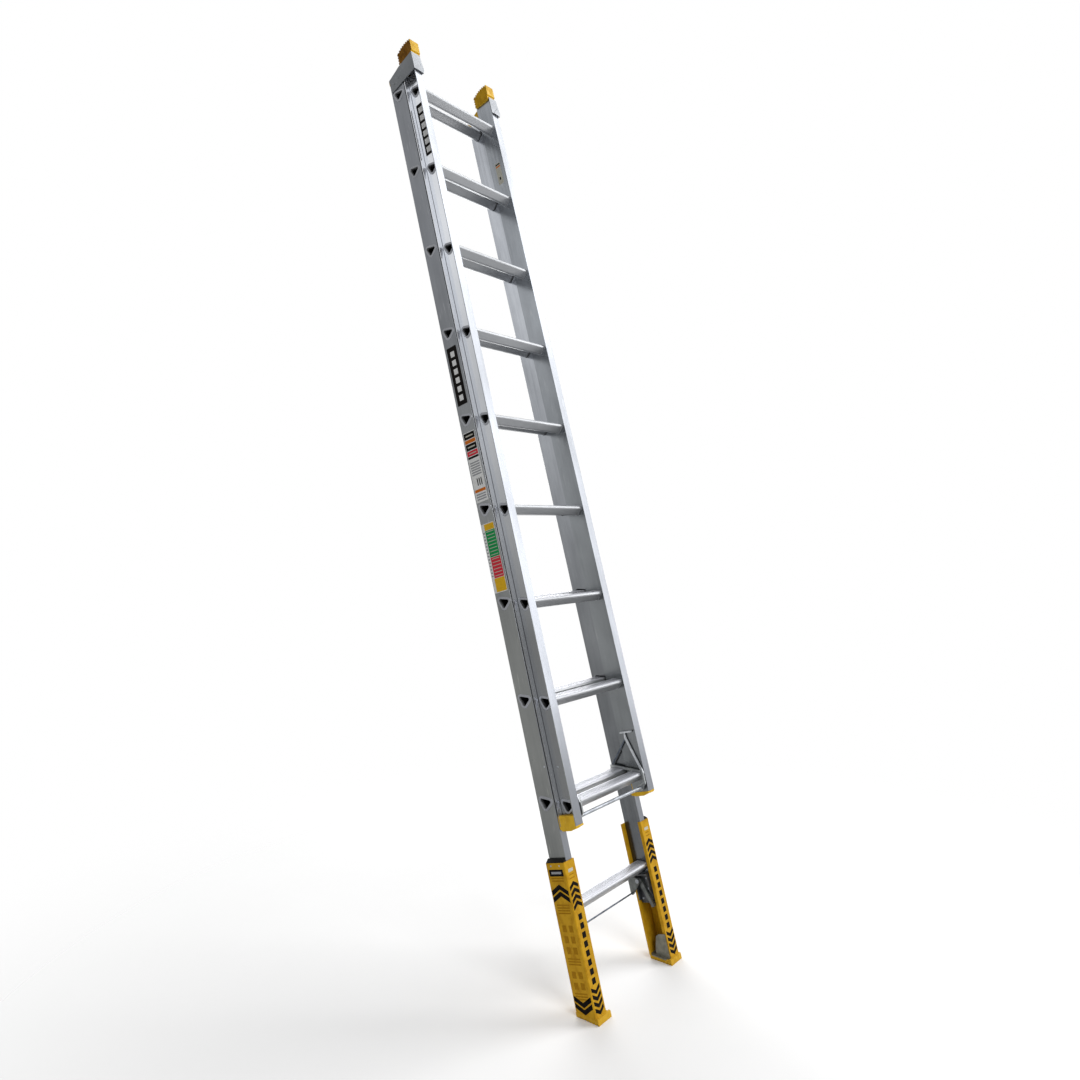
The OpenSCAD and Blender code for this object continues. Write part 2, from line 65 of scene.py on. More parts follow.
# distances from the ladder's middle plane: both faces of a fly stile's hollow web, which is 15 mm thick,
# the rungs' ends, and the middle of the print on a leg's front
FLY_WEB_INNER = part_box("fly_stile_right")[0].x
FLY_WEB = FLY_WEB_INNER + 15 * MM
BASE_RUNG_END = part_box("base_rung_1")[1].x
FLY_RUNG_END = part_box("fly_rung_1")[1].x
LEG_PRINT = 211 * MM


# ---------------------------------------------------------------- materials


def srgb(r, g, b):
    """A colour given as 8-bit display values, as a linear RGBA tuple."""

    def linear(v):
        v /= 255
        return v / 12.92 if v <= 0.04045 else ((v + 0.055) / 1.055) ** 2.4

    return (linear(r), linear(g), linear(b), 1)


class Maker:
    """Builds one node material round a Principled BSDF."""

    def __init__(self, name, roughness, metallic=0.0, specular=0.5):
        self.mat = bpy.data.materials.new(name)
        self.mat.use_nodes = True
        self.tree = self.mat.node_tree
        self.bsdf = self.tree.nodes["Principled BSDF"]
        self.bsdf.inputs["Metallic"].default_value = metallic
        self.bsdf.inputs["Roughness"].default_value = roughness
        self.bsdf.inputs["Specular IOR Level"].default_value = specular
        self.coord = self.node("ShaderNodeTexCoord").outputs["Object"]
        self.height = None

    def node(self, kind, **settings):
        """A new node with the given settings."""
        made = self.tree.nodes.new(kind)
        for key, value in settings.items():
            setattr(made, key, value)
        return made

    def link(self, a, b):
        """Joins an output socket to an input socket."""
        self.tree.links.new(a, b)

    def noise(self, scale, stretch=(1, 1, 1), *, detail, rough=0.55):
        """A noise value from 0 to 1, stretched along the object's axes."""
        mapping = self.node("ShaderNodeMapping")
        mapping.inputs["Scale"].default_value = stretch
        self.link(self.coord, mapping.inputs["Vector"])
        tex = self.node("ShaderNodeTexNoise")
        tex.inputs["Scale"].default_value = scale
        tex.inputs["Detail"].default_value = detail
        tex.inputs["Roughness"].default_value = rough
        self.link(mapping.outputs["Vector"], tex.inputs["Vector"])
        return tex.outputs["Fac"]

    def ramp(self, value, stops):
        """Colours along a value."""
        made = self.node("ShaderNodeValToRGB")
        ramp = made.color_ramp
        while len(ramp.elements) < len(stops):
            ramp.elements.new(0.5)
        for element, (at, colour) in zip(ramp.elements, stops):
            element.position = at
            element.color = colour
        self.link(value, made.inputs["Fac"])
        return made.outputs["Color"]

    def mix(self, factor, a, b, blend="MIX"):
        """Mixes two colours; the factor and the colours are sockets or plain values."""
        made = self.node("ShaderNodeMix", data_type="RGBA", blend_type=blend)
        # a mix node has sockets for every data type, and these are the ones for colours
        factor_in, a_in, b_in, result = made.inputs[0], made.inputs[6], made.inputs[7], made.outputs[2]
        for value, socket in ((factor, factor_in), (a, a_in), (b, b_in)):
            if isinstance(value, bpy.types.NodeSocket):
                self.link(value, socket)
            else:
                socket.default_value = value
        return result

    def scaled(self, value, low, high, source=(0.3, 0.7)):
        """Maps a value's range to low..high."""
        made = self.node("ShaderNodeMapRange")
        made.inputs["From Min"].default_value = source[0]
        made.inputs["From Max"].default_value = source[1]
        made.inputs["To Min"].default_value = low
        made.inputs["To Max"].default_value = high
        self.link(value, made.inputs["Value"])
        return made.outputs["Result"]

    def axis(self, name):
        """One of the object's coordinates."""
        split = self.node("ShaderNodeSeparateXYZ")
        self.link(self.coord, split.inputs["Vector"])
        return split.outputs[name]

    def off_middle(self):
        """The distance from the ladder's middle plane."""
        away = self.node("ShaderNodeMath", operation="ABSOLUTE")
        self.link(self.axis("X"), away.inputs[0])
        return away.outputs["Value"]

    def colour(self, socket):
        """Sets the material's colour."""
        self.link(socket, self.bsdf.inputs["Base Color"])

    def roughness(self, socket):
        """Sets the material's roughness."""
        self.link(socket, self.bsdf.inputs["Roughness"])

    def bump(self, value, depth, strength):
        """Adds a bump of the given depth in metres on top of those before it."""
        made = self.node("ShaderNodeBump")
        made.inputs["Distance"].default_value = depth
        made.inputs["Strength"].default_value = strength
        self.link(value, made.inputs["Height"])
        if self.height is not None:
            self.link(self.height, made.inputs["Normal"])
        self.height = made.outputs["Normal"]
        self.link(self.height, self.bsdf.inputs["Normal"])


def aluminium(name, along, dark, light, metallic, rough, low_shade=None, wave=0.25, shaded_corner=None):
    """Mill-finish extrusion: die lines along one axis, cloudy tone, short scuffs.

    A low shade is painted shade that darkens the metal towards the ladder's foot, where less light falls,
    and a shaded corner is the distance from the middle plane at which an inner corner lies, along which a
    thin line of painted shade is drawn.
    """
    m = Maker(name, roughness=0.42, metallic=metallic)
    across = {"x": (0.003, 1, 1), "z": (1, 1, 0.02), "none": (1, 1, 1)}[along]
    lines = m.noise(900, across, detail=2)
    broad = m.noise(120, across, detail=2)
    clouds = m.noise(7, (1, 1, 0.35) if along == "z" else (0.35, 1, 1), detail=4)
    tone = m.ramp(clouds, [(0.3, dark), (0.7, light)])
    tone = m.mix(m.scaled(broad, 0.0, 0.35), tone, light)
    tone = m.mix(m.scaled(lines, 0.0, 0.28), tone, dark)
    scuffs = m.noise(160, (1, 1, 0.1) if along == "z" else (0.1, 1, 1), detail=1)
    bare = (0.6, 0.61, 0.62, 1)
    tone = m.mix(m.scaled(scuffs, 0.0, 0.22, (0.66, 0.8)), tone, bare)
    if low_shade is not None:
        # painted shade: the metal darkens towards the foot, where the light falls off
        lowness = m.scaled(m.axis("Z"), 1.0, 0.0, (SHADE_LOW, SHADE_HIGH))
        tone = m.mix(lowness, tone, m.mix(1.0, tone, low_shade, "MULTIPLY"))
    # painted shade: a thin dark line on the rear flange next to the web, where the inner corner lies
    if shaded_corner is not None:
        clear = m.scaled(m.off_middle(), 0.0, 1.0, (shaded_corner + 1 * MM, shaded_corner + 2.4 * MM))
        shaded = m.mix(1.0, tone, srgb(120, 122, 126), "MULTIPLY")
        tone = m.mix(clear, shaded, tone)
    m.colour(tone)
    m.roughness(m.scaled(clouds, rough[1], rough[0]))
    m.bump(lines, 0.00003, 2 * wave)
    m.bump(clouds, 0.0004, wave)
    return m.mat


def painted(name, base, deep, chip, rough, specular):
    """Baked paint or moulded plastic: mottled tone, fine orange peel, a few rubbed spots."""
    m = Maker(name, roughness=rough, specular=specular)
    mottle = m.noise(60, (1, 1, 0.6), detail=5, rough=0.62)
    grime = m.noise(9, (1, 1, 0.4), detail=3)
    tone = m.ramp(mottle, [(0.18, deep), (0.56, base)])
    tone = m.mix(m.scaled(grime, 0.0, 0.2, (0.5, 0.8)), tone, deep)
    rubs = m.noise(140, (1, 1, 0.3), detail=1)
    tone = m.mix(m.scaled(rubs, 0.0, 0.6, (0.7, 0.8)), tone, chip)
    m.colour(tone)
    m.roughness(m.scaled(mottle, rough + 0.14, rough - 0.06))
    m.bump(m.noise(900, detail=2), 0.00006, 0.5)
    m.bump(mottle, 0.0003, 0.2)
    return m.mat


def steel(name, dark, light, metallic=0.8, rough=(0.3, 0.5), along=(1, 1, 1)):
    """Plated or blackened steel with faint draw marks and stains."""
    m = Maker(name, roughness=0.4, metallic=metallic)
    stain = m.noise(60, detail=5)
    draw = m.noise(700, along, detail=2)
    tone = m.ramp(stain, [(0.3, dark), (0.68, light)])
    tone = m.mix(m.scaled(draw, 0.0, 0.3), tone, dark)
    m.colour(tone)
    m.roughness(m.scaled(stain, rough[1], rough[0]))
    m.bump(draw, 0.00003, 0.5)
    return m.mat


def moulded(name, dark, light):
    """Black moulded plastic with a fine spark-eroded grain."""
    rough = 0.55
    m = Maker(name, roughness=rough, specular=0.08)
    grain = m.noise(1400, detail=2)
    dust = m.noise(40, detail=4)
    m.colour(m.ramp(dust, [(0.35, dark), (0.75, light)]))
    m.roughness(m.scaled(grain, rough + 0.12, rough - 0.1))
    m.bump(grain, 0.00008, 0.6)
    return m.mat


def printed(name, ink):
    """Printed vinyl film: even ink with slight wear."""
    rough = 0.5
    m = Maker(name, roughness=rough, specular=0.04)
    wear = m.noise(220, detail=4)
    faded = tuple(min(1, c * 1.3 + 0.004) for c in ink[:3]) + (1,)
    m.colour(m.ramp(wear, [(0.45, ink), (0.8, faded)]))
    m.roughness(m.scaled(wear, rough + 0.1, rough - 0.08))
    m.bump(m.noise(500, detail=2), 0.00004, 0.5)
    return m.mat


stile_metal = aluminium(
    "stile_aluminium",
    "z",
    dark=srgb(106, 109, 114),
    light=srgb(132, 135, 140),
    low_shade=srgb(252, 250, 238),
    metallic=0.8,
    rough=(0.24, 0.36),
)
# painted light and painted reflection: lighter copies of the stile aluminium for the front faces and the
# right stiles' inner webs
front_lit_metal = aluminium(
    "front_aluminium",
    "z",
    dark=srgb(126, 129, 134),
    light=srgb(150, 153, 159),
    low_shade=srgb(234, 234, 235),
    metallic=0.8,
    rough=(0.24, 0.36),
)
base_inner_lit_metal = aluminium(
    "base_inner",
    "z",
    dark=srgb(140, 144, 150),
    light=srgb(206, 210, 217),
    low_shade=srgb(156, 156, 154),
    metallic=0.9,
    rough=(0.12, 0.24),
)
inner_lit_metal = aluminium(
    "inner_aluminium",
    "z",
    dark=srgb(120, 124, 129),
    light=srgb(166, 171, 177),
    low_shade=srgb(204, 203, 199),
    metallic=0.85,
    rough=(0.18, 0.3),
)
# painted reflection: near-white copies of the stile aluminium for the fly stile's outward channel, brightest
# on its rear flange
channel_lit_metal = aluminium(
    "channel_aluminium",
    "z",
    dark=srgb(206, 209, 214),
    light=srgb(228, 231, 236),
    low_shade=srgb(134, 134, 132),
    metallic=0.85,
    rough=(0.16, 0.26),
    wave=0.1,
)
flange_lit_metal = aluminium(
    "flange_aluminium",
    "z",
    dark=srgb(240, 243, 249),
    light=srgb(249, 251, 255),
    metallic=0.95,
    rough=(0.16, 0.26),
    wave=0.1,
    shaded_corner=FLY_WEB,
)
rung_metal = aluminium(
    "rung_aluminium",
    "x",
    dark=srgb(138, 140, 143),
    light=srgb(164, 166, 169),
    metallic=0.7,
    rough=(0.3, 0.4),
    wave=0.05,
)
# partly painted light: the treads, which face up, get a rougher and lighter copy of the rung aluminium; the
# roughness stands for their grooves, the lighter colour for the light that falls on them
tread_lit_metal = aluminium(
    "tread_aluminium",
    "x",
    dark=srgb(184, 186, 193),
    light=srgb(204, 206, 213),
    metallic=0.5,
    rough=(0.4, 0.5),
    wave=0.05,
)
rim_metal = aluminium(
    "rim_aluminium",
    "none",
    dark=srgb(122, 124, 129),
    light=srgb(150, 152, 157),
    metallic=0.7,
    rough=(0.24, 0.34),
)
# painted shade and light: the bracket's sides get a darker copy of the pressed plate and its front faces a
# lighter one
plate_metal = aluminium(
    "pressed_plate",
    "none",
    dark=srgb(84, 87, 90),
    light=srgb(108, 111, 114),
    metallic=0.75,
    rough=(0.3, 0.42),
)
plate_front = aluminium(
    "plate_front",
    "none",
    dark=srgb(108, 111, 115),
    light=srgb(130, 133, 137),
    metallic=0.75,
    rough=(0.3, 0.42),
)
leg_yellow = painted(
    "leg_paint",
    base=srgb(198, 152, 28),
    deep=srgb(156, 108, 12),
    chip=srgb(206, 166, 56),
    rough=0.5,
    specular=0.1,
)
plastic_yellow = painted(
    "yellow_plastic",
    base=srgb(222, 178, 28),
    deep=srgb(186, 136, 10),
    chip=srgb(228, 196, 84),
    rough=0.5,
    specular=0.3,
)
pad_yellow = painted(
    "pad_rubber",
    base=srgb(204, 160, 36),
    deep=srgb(164, 120, 18),
    chip=srgb(210, 176, 76),
    rough=0.65,
    specular=0.2,
)
# painted shade: darker copies of the yellow plastic for the wall grips' sides, deep brown on the left grip
# and ochre on the right
grip_shaded_side = painted(
    "grip_painted_shade",
    base=srgb(132, 88, 14),
    deep=srgb(60, 34, 6),
    chip=srgb(196, 150, 40),
    rough=0.6,
    specular=0.1,
)
grip_ochre = painted(
    "grip_ochre",
    base=srgb(196, 152, 26),
    deep=srgb(140, 98, 12),
    chip=srgb(222, 190, 80),
    rough=0.6,
    specular=0.1,
)
black_plastic = moulded("black_plastic", srgb(10, 9, 9), srgb(24, 22, 21))
dark_steel = steel("dark_steel", srgb(66, 68, 70), srgb(100, 102, 104), along=(1, 0.1, 1))
hook_steel = steel("hook_steel", srgb(120, 123, 124), srgb(166, 169, 170), along=(1, 0.1, 1))
zinc = steel("zinc_steel", srgb(128, 132, 138), srgb(166, 170, 176), along=(0.04, 1, 1))
wire_steel = steel("wire_steel", srgb(176, 180, 184), srgb(206, 209, 213), metallic=0.6, rough=(0.34, 0.48))
foot_steel = steel("foot_bracket", srgb(104, 103, 92), srgb(134, 132, 120), metallic=0.5, rough=(0.45, 0.6))
rod_steel = steel("rod_steel", srgb(64, 70, 80), srgb(96, 102, 112), along=(0.04, 1, 1))
housing_steel = steel("housing_steel", srgb(58, 60, 62), srgb(96, 98, 100), along=(1, 1, 0.1))
strut_steel = steel("strut_steel", srgb(82, 85, 84), srgb(114, 117, 115), along=(1, 1, 0.1))


def bore(name, end):
    """The inside of a rung tube: bright metal at the mouth, then painted shade that turns it near black
    deeper in.
    """
    m = Maker(name, roughness=0.6, metallic=0.2, specular=0.2)
    mouth = m.scaled(m.off_middle(), 0.0, 1.0, (end - 14 * MM, end - 2 * MM))
    grime = m.noise(90, detail=3)
    light = m.ramp(grime, [(0.3, srgb(120, 122, 124)), (0.7, srgb(160, 162, 164))])
    # painted shade: more than 14 mm in from the rung's end the bore is near black
    dark = m.ramp(grime, [(0.3, srgb(8, 8, 9)), (0.7, srgb(20, 20, 21))])
    m.colour(m.mix(mouth, dark, light))
    m.bump(grime, 0.0002, 0.3)
    return m.mat


base_bore = bore("base_bore", BASE_RUNG_END)
fly_bore = bore("fly_bore", FLY_RUNG_END)

# the main finish of each node, by the start of its name; a node that isn't listed is dark steel
FINISHES = {
    "base_stile": stile_metal,
    "fly_stile": stile_metal,
    "base_rung": rung_metal,
    "fly_rung": rung_metal,
    "guide_bracket": plate_metal,
    "bracket_rivets": plate_metal,
    "leg_left": leg_yellow,
    "leg_right": leg_yellow,
    "leg_liner": black_plastic,
    "wall_grip": plastic_yellow,
    "base_cap": plastic_yellow,
    "fly_foot_cap": plastic_yellow,
    "foot_pad": pad_yellow,
    "foot_plate": foot_steel,
    "lock_frame": wire_steel,
    "lock_rod": zinc,
    "lock_hook": hook_steel,
    "housing_bolts": zinc,
    "leveller_housing": housing_steel,
    "pawl_pin": zinc,
    "pawl_left": strut_steel,
    "pawl_right": strut_steel,
    "release_rod": rod_steel,
}
for name, obj in nodes.items():
    finish = next((mat for start, mat in FINISHES.items() if name.startswith(start)), dark_steel)
    obj.data.materials.clear()
    obj.data.materials.append(finish)


def dress_faces(name, mat, test):
    """Gives a second finish to the faces of a node whose centre and normal pass the test."""
    mesh = nodes[name].data
    mesh.materials.append(mat)
    at = len(mesh.materials) - 1
    for face in mesh.polygons:
        if test(face.center, face.normal):
            face.material_index = at


def looks_ahead(c, n):
    """Faces that look to the front."""
    return n.y < -0.7


def right_inner(c, n):
    """Faces of the right stiles that look to the rungs, which are the ones the camera sees."""
    return c.x > 0 and n.x < -0.5


def dress_rung(name, bore_finish):
    """Tread in a lighter copy of the rung aluminium, partly painted light, brushed rims at both ends, and a
    bore darkened by painted shade.
    """
    low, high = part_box(name)
    mid = (low + high) / 2
    dress_faces(name, tread_lit_metal, lambda c, n: n.z > 0.6)
    dress_faces(name, rim_metal, lambda c, n: abs(c.x) > high.x - 2.5 * MM)
    dress_faces(name, bore_finish, lambda c, n: abs(n.x) < 0.3 and (c - mid).dot(n) < 0)


def dress_fly_stile(name):
    """Front flange, web and the outward channel in lighter copies of the stile aluminium, which are painted
    light; the channel's rear flange is the brightest, a painted reflection.
    """
    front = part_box(name)[0].y

    def in_channel(c):
        return abs(c.x) > FLY_WEB - 0.5 * MM and c.y > front + 2 * MM

    dress_faces(name, front_lit_metal, lambda c, n: looks_ahead(c, n) and c.y < front + 1 * MM)
    dress_faces(name, inner_lit_metal, right_inner)
    dress_faces(name, channel_lit_metal, lambda c, n: in_channel(c) and n.y < 0.5)
    dress_faces(name, flange_lit_metal, lambda c, n: in_channel(c) and looks_ahead(c, n))


def dress_lock_frame(name):
    """Painted shade: the rear wire, behind the bright front one, takes the darker rod finish."""
    low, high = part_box(name)
    behind = (low.y + high.y) / 2 + 2 * MM
    above = low.z + 12 * MM
    dress_faces(name, rod_steel, lambda c, n: c.y > behind and c.z > above)


for name in nodes:
    if name.startswith("base_rung"):
        dress_rung(name, base_bore)
    elif name.startswith("fly_rung"):
        dress_rung(name, fly_bore)
    elif name.startswith("fly_stile"):
        dress_fly_stile(name)
    elif name.startswith("base_stile"):
        # painted light: lighter copies of the aluminium on the base stiles' front faces and the right one's
        # inner web
        dress_faces(name, front_lit_metal, looks_ahead)
        dress_faces(name, base_inner_lit_metal, right_inner)
    elif name.startswith("wall_grip"):
        # painted shade on the grips' sides, strongest on the left grip
        grip_side = grip_shaded_side if name.endswith("left") else grip_ochre
        dress_faces(name, grip_side, lambda c, n: abs(n.x) > 0.5)
    elif name.startswith("guide_bracket"):
        # painted light: the lighter copy on the bracket's front faces
        dress_faces(name, plate_front, looks_ahead)
    elif name.startswith("lock_frame"):
        dress_lock_frame(name)


# ---------------------------------------------------------------- pieces


def piece(name, mesh, mats, body):
    """An object of the ladder that rides on a body."""
    obj = bpy.data.objects.new(name, mesh)
    bpy.context.scene.collection.objects.link(obj)
    for mat in mats:
        mesh.materials.append(mat)
    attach(obj, body)


def prism(bm, points, depth, place, index=0):
    """Adds a flat shape of 2-D points, raised by depth, and set in place by a matrix."""
    low = [bm.verts.new(place @ Vector((x, y, 0))) for x, y in points]
    high = [bm.verts.new(place @ Vector((x, y, depth))) for x, y in points]
    n = len(points)
    faces = [bm.faces.new(high), bm.faces.new(low[::-1])]
    for i in range(n):
        j = (i + 1) % n
        faces.append(bm.faces.new((low[i], low[j], high[j], high[i])))
    for face in faces:
        face.material_index = index


def rounded(x0, y0, x1, y1, r, steps=4):
    """A rounded rectangle as a list of points."""
    out = []
    corners = ((x1 - r, y0 + r, -90), (x1 - r, y1 - r, 0), (x0 + r, y1 - r, 90), (x0 + r, y0 + r, 180))
    for cx, cy, start in corners:
        for k in range(steps + 1):
            a = math.radians(start + 90 * k / steps)
            out.append((cx + r * math.cos(a), cy + r * math.sin(a)))
    return out


def plane(origin, right, up):
    """A matrix that sets 2-D drawing on a face: x along right, y along up, z out of the face."""
    x, y = Vector(right).normalized(), Vector(up).normalized()
    z = x.cross(y)
    m = Matrix((x, y, z)).transposed().to_4x4()
    m.translation = Vector(origin)
    return m


def mesh_of(bm, name):
    """A mesh from what has been drawn, with its faces turned outwards."""
    bmesh.ops.recalc_face_normals(bm, faces=bm.faces)
    mesh = bpy.data.meshes.new(name)
    bm.to_mesh(mesh)
    bm.free()
    return mesh


ink_black = printed("ink_black", srgb(12, 9, 7))
ink_white = printed("ink_white", srgb(226, 227, 226))
ink_red = printed("ink_red", srgb(208, 54, 68))
ink_green = printed("ink_green", srgb(30, 144, 78))
ink_orange = printed("ink_orange", srgb(206, 112, 36))
ink_yellow = printed("ink_yellow", srgb(222, 176, 40))
ink_grey = printed("ink_grey", srgb(150, 152, 156))
ink_pale = printed("ink_pale", srgb(186, 184, 172))
ink_ochre = printed("ink_ochre", srgb(156, 112, 14))
INKS = [ink_white, ink_black, ink_red, ink_green, ink_orange, ink_yellow, ink_grey, ink_pale]
WHITE, BLACK, RED, GREEN, ORANGE, YELLOW, GREY, PALE = range(8)

# thickness of a label's ground sheet, of its first block, and what each further block adds
SHEET = 0.15 * MM
BLOCK = 0.08 * MM
BLOCK_STEP = 0.002 * MM
# thickness of print that lies on the metal itself
PRINT = 0.1 * MM


def label(name, place, width, height, blocks, body, ground=WHITE):
    """A plain vinyl label: a ground sheet with blocks of colour, each (x0, y0, x1, y1, ink) in 0..1.

    Each block is printed a little thicker than the one before it, so that a later one shows on top.
    """
    bm = bmesh.new()
    prism(bm, rounded(-width / 2, 0, width / 2, height, 2 * MM), SHEET, place, ground)
    lift = Matrix.Translation((0, 0, SHEET))
    for k, (x0, y0, x1, y1, ink) in enumerate(blocks):
        box = rounded(
            (x0 - 0.5) * width, y0 * height, (x1 - 0.5) * width, y1 * height, 0.3 * MM, steps=2
        )
        prism(bm, box, BLOCK + BLOCK_STEP * k, place @ lift, ink)
    piece(name, mesh_of(bm, name), INKS, body)


def on_left(x, y, z):
    """A drawing plane on a face that looks towards -X, with its foot at the point."""
    return plane((x, y, z), (0, -1, 0), (0, 0, 1))


def on_front(x, y, z):
    """A drawing plane on a face that looks towards -Y."""
    return plane((x, y, z), (1, 0, 0), (0, 0, 1))


def rim_loop(mesh, side):
    """The outer edge of a rung's end face, in order, as (y, z) points, and the end's x."""
    end = max(v.co.x * side for v in mesh.vertices)
    used = {}
    for face in mesh.polygons:
        if face.normal.x * side > 0.9 and face.center.x * side > end - 0.1 * MM:
            for edge in face.edge_keys:
                used[edge] = used.get(edge, 0) + 1
    joined = {}
    for (a, b), count in used.items():
        if count == 1:
            joined.setdefault(a, []).append(b)
            joined.setdefault(b, []).append(a)
    loops = []
    while joined:
        at = next(iter(joined))
        loop = []
        while at in joined:
            loop.append(at)
            at = next((b for b in joined.pop(at) if b in joined), None)
        loops.append([(mesh.vertices[i].co.y, mesh.vertices[i].co.z) for i in loop])
    width = [max(y for y, z in loop) - min(y for y, z in loop) for loop in loops]
    return loops[width.index(max(width))], end


def swage(bm, loop, x, side):
    """A rounded bead round a rung's end, where the tube is flared over the stile."""
    # points of the bead in mm: outwards from the rung's edge, and past the rung's end
    profile = ((2.9, -1.7), (2.3, -0.8), (1.3, -0.1), (0.2, 0.3), (-0.8, 0.2), (-1.7, -0.5), (-2.0, -1.6))
    n = len(loop)
    # twice the loop's area, whose sign tells which way round the loop runs
    area = sum(loop[k - 1][0] * loop[k][1] - loop[k][0] * loop[k - 1][1] for k in range(n))
    turn = 1 if area > 0 else -1
    rows = []
    for out, past in profile:
        row = []
        for k in range(n):
            (y0, z0), (y, z), (y1, z1) = loop[k - 1], loop[k], loop[(k + 1) % n]
            along = Vector((y1 - y0, z1 - z0)).normalized() * turn
            spot = (side * (x + past * MM), y + along.y * out * MM, z - along.x * out * MM)
            row.append(bm.verts.new(spot))
        rows.append(row)
    for inner, outer in zip(rows, rows[1:]):
        for k in range(n):
            bm.faces.new((inner[k - 1], inner[k], outer[k], outer[k - 1]))


# the lowest base rung has no bead, because the leg's liner passes close to its ends
for body in ("base", "fly"):
    for side, tag in ((-1, "left"), (1, "right")):
        bm = bmesh.new()
        for name in sorted(nodes):
            if name.startswith(body + "_rung") and name != "base_rung_1":
                loop, end = rim_loop(nodes[name].data, side)
                swage(bm, loop, end, side)
        mesh = mesh_of(bm, "%s_swages_%s" % (body, tag))
        for face in mesh.polygons:
            face.use_smooth = True
        piece(mesh.name, mesh, [rim_metal], body)


label(
    "name_plate",
    on_left(base_low.x, base_mid_y, 1.881),
    width=44 * MM,
    height=204 * MM,
    blocks=[(0.3, 0.075 + k * 0.15, 0.7, 0.17 + k * 0.15, WHITE) for k in range(6)],
    body="base",
    ground=BLACK,
)
label(
    "notice_upper",
    on_left(base_low.x, base_mid_y + 1 * MM, 1.551),
    width=51 * MM,
    height=236 * MM,
    blocks=[
        (0.04, 0.90, 0.96, 0.99, BLACK),
        (0.18, 0.935, 0.82, 0.955, PALE),
        (0.04, 0.84, 0.96, 0.89, ORANGE),
        (0.04, 0.74, 0.96, 0.83, BLACK),
        (0.18, 0.775, 0.82, 0.795, PALE),
        (0.04, 0.66, 0.96, 0.73, RED),
        (0.18, 0.688, 0.82, 0.702, PALE),
        (0.04, 0.62, 0.96, 0.65, BLACK),
        (0.04, 0.14, 0.96, 0.18, ORANGE),
    ]
    + [(0.10, 0.38 + k * 0.034, 0.90, 0.398 + k * 0.034, GREY) for k in range(6)]
    + [(0.38 + k * 0.17, 0.23, 0.46 + k * 0.17, 0.33, BLACK) for k in range(3)]
    + [(0.10, 0.03 + k * 0.034, 0.90, 0.048 + k * 0.034, GREY) for k in range(3)],
    body="base",
)
label(
    "notice_lower",
    on_left(base_low.x, base_mid_y + 2 * MM, 1.255),
    width=54 * MM,
    height=224 * MM,
    blocks=[
        (0.22, 0.90, 0.98, 0.99, YELLOW),
        (0.22, 0.51, 0.98, 0.895, GREEN),
        (0.22, 0.21, 0.98, 0.505, RED),
        (0.18, 0.01, 0.98, 0.205, YELLOW),
    ]
    + [(0.30, 0.535 + k * 0.048, 0.90, 0.545 + k * 0.048, PALE) for k in range(8)]
    + [(0.30, 0.235 + k * 0.048, 0.90, 0.245 + k * 0.048, PALE) for k in range(6)]
    + [(0.04, 0.235 + k * 0.048, 0.16, 0.255 + k * 0.048, GREY) for k in range(14)],
    body="base",
)
label(
    "fly_plate",
    on_left(-FLY_WEB, -41 * MM, 2.779),
    width=34 * MM,
    height=200 * MM,
    blocks=[(0.2, 0.055 + k * 0.155, 0.88, 0.16 + k * 0.155, WHITE) for k in range(6)],
    body="fly",
    ground=BLACK,
)
label(
    "fly_tag",
    on_left(FLY_WEB_INNER, -39 * MM, 2.802),
    width=24 * MM,
    height=88 * MM,
    blocks=[
        (0.1, 0.9, 0.95, 0.96, BLACK),
        (0.1, 0.8, 0.95, 0.86, ORANGE),
        (0.36, 0.2, 0.64, 0.33, BLACK),
    ],
    body="fly",
    ground=PALE,
)


def dome_rivet(name, x, y, z, body, r=3.2, h=1.3):
    """A small domed rivet head that looks towards -X; its radius and its height are in mm."""
    rings = 5
    sides = 20
    bm = bmesh.new()
    rows = []
    for i in range(rings):
        a = math.pi / 2 * i / rings
        rows.append([
            bm.verts.new((
                x - h * math.sin(a) * MM,
                y + r * math.cos(a) * math.cos(t) * MM,
                z + r * math.cos(a) * math.sin(t) * MM,
            ))
            for t in (2 * math.pi * k / sides for k in range(sides))
        ])
    tip = bm.verts.new((x - h * MM, y, z))
    for lower, upper in zip(rows, rows[1:]):
        for k in range(sides):
            j = (k + 1) % sides
            bm.faces.new((lower[k], lower[j], upper[j], upper[k]))
    for k in range(sides):
        bm.faces.new((rows[-1][k], rows[-1][(k + 1) % sides], tip))
    bm.faces.new(rows[0])
    mesh = mesh_of(bm, name)
    for face in mesh.polygons:
        face.use_smooth = len(face.vertices) < sides
    piece(name, mesh, [zinc], body)


dome_rivet("guide_rivet_base", base_low.x, base_low.y + 8 * MM, 0.714, "base")
dome_rivet("guide_rivet_fly", -FLY_WEB, -33 * MM, 0.706, "fly")
for k, y in enumerate((-16, 16)):
    dome_rivet("leg_rivet_%d" % (k + 1), leg_low.x, leg_mid_y + y * MM, 0.434, "leg_left", r=2.6, h=0.3)


def chevron(width, rise, thick, up):
    """Points of one chevron, its lowest point at y = 0."""
    h = width / 2
    pts = [(-h, 0), (0, rise), (h, 0), (h, thick), (0, rise + thick), (-h, thick)]
    if up:
        return pts[::-1]
    return [(x, rise + thick - y) for x, y in pts]


def chevrons(name, place, marks, size, body):
    """Black chevrons on a face, in mm: each mark is (height, points up), all (width, rise, thickness)."""
    width, rise, thick = (v * MM for v in size)
    bm = bmesh.new()
    for height, up in marks:
        lift = Matrix.Translation((0, height * MM, 0))
        prism(bm, chevron(width, rise, thick, up), PRINT, place @ lift)
    piece(name, mesh_of(bm, name), [ink_black], body)


